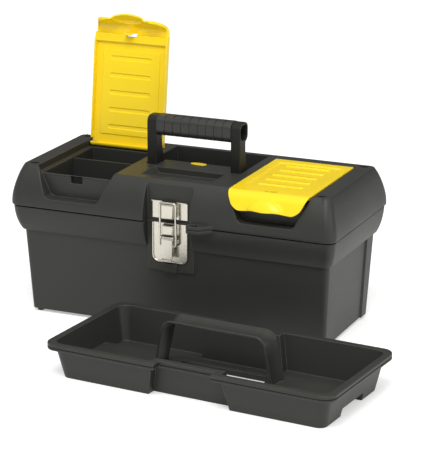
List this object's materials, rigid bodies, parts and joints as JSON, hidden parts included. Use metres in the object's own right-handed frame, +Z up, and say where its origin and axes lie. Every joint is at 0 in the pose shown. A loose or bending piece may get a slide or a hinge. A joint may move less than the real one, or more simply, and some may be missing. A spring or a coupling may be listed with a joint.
{
  "type": "toolbox with tray",
  "caption": "Drafted plastic toolbox with a hinged lid holding small organiser compartments under yellow covers, a folding handle, a wire draw latch and a lift-out carrying tray.",
  "frame": {"origin": "on the floor, at the middle of the bounding box of the toolbox and the tray beside it", "axes": "+X along the toolbox to the right, +Y to its rear where the lid is hinged, +Z up; the latch faces -Y"},
  "size_m": [0.4962, 0.4043, 0.3419],
  "materials": {
    "charcoal_plastic": "fine moulded grain, charcoal",
    "grip_plastic": "smooth matt, charcoal",
    "yellow_plastic": "satin, bright yellow",
    "nickel_plate": "nickel-plated pressed steel, softly polished",
    "steel_pin": "plain drawn steel"
  },
  "bodies": {
    "base": {"base_tub": "charcoal_plastic", "lid_hinge_pins": "steel_pin", "latch_plate": "nickel_plate", "latch_plate_rivets": "nickel_plate", "lever_pin": "nickel_plate"},
    "lid": {"lid_shell": "charcoal_plastic", "left_divider": "charcoal_plastic", "right_divider": "charcoal_plastic", "badge": "yellow_plastic", "keeper_plate": "nickel_plate", "keeper_rivets": "nickel_plate", "handle_pins": "steel_pin", "left_organiser_pins": "steel_pin", "right_organiser_pins": "steel_pin"},
    "handle": {"handle_frame": "charcoal_plastic", "handle_grip": "grip_plastic"},
    "left_organiser": {"left_organiser_lid": "yellow_plastic"},
    "right_organiser": {"right_organiser_lid": "yellow_plastic"},
    "lever": {"latch_lever": "nickel_plate"},
    "bail": {"latch_bail": "nickel_plate"},
    "tray": {"tray": "charcoal_plastic"}
  },
  "joints": [
    {"name": "lid_hinge", "type": "hinge", "parent": "base", "child": "lid", "pos_m": [-0.0455, 0.197, 0.136], "axis": [-1, 0, 0], "range_deg": [0, 100]},
    {"name": "handle_fold", "type": "hinge", "parent": "lid", "child": "handle", "pos_m": [-0.0455, 0.093, 0.172], "axis": [-1, 0, 0], "range_deg": [0, 90]},
    {"name": "left_organiser_hinge", "type": "hinge", "parent": "lid", "child": "left_organiser", "pos_m": [-0.167, 0.1565, 0.1802], "axis": [-1, 0, 0], "range_deg": [-97, 0]},
    {"name": "right_organiser_hinge", "type": "hinge", "parent": "lid", "child": "right_organiser", "pos_m": [0.076, 0.1565, 0.1802], "axis": [-1, 0, 0], "range_deg": [0, 97]},
    {"name": "latch_lever_pivot", "type": "hinge", "parent": "base", "child": "lever", "pos_m": [-0.0455, 0.009, 0.1175], "axis": [-1, 0, 0], "range_deg": [0, 115]},
    {"name": "latch_bail_pivot", "type": "hinge", "parent": "lever", "child": "bail", "pos_m": [-0.0455, 0.01, 0.108], "axis": [-1, 0, 0], "range_deg": [-130, 10]},
    {"name": "tray_lift", "type": "slide", "parent": "base", "child": "tray", "axis": [0, 0, 1], "range_m": [0, 0.2]}
  ],
  "couplings": [
    {"joint": "latch_bail_pivot", "follows": "latch_lever_pivot", "ratio": -1.1}
  ]
}
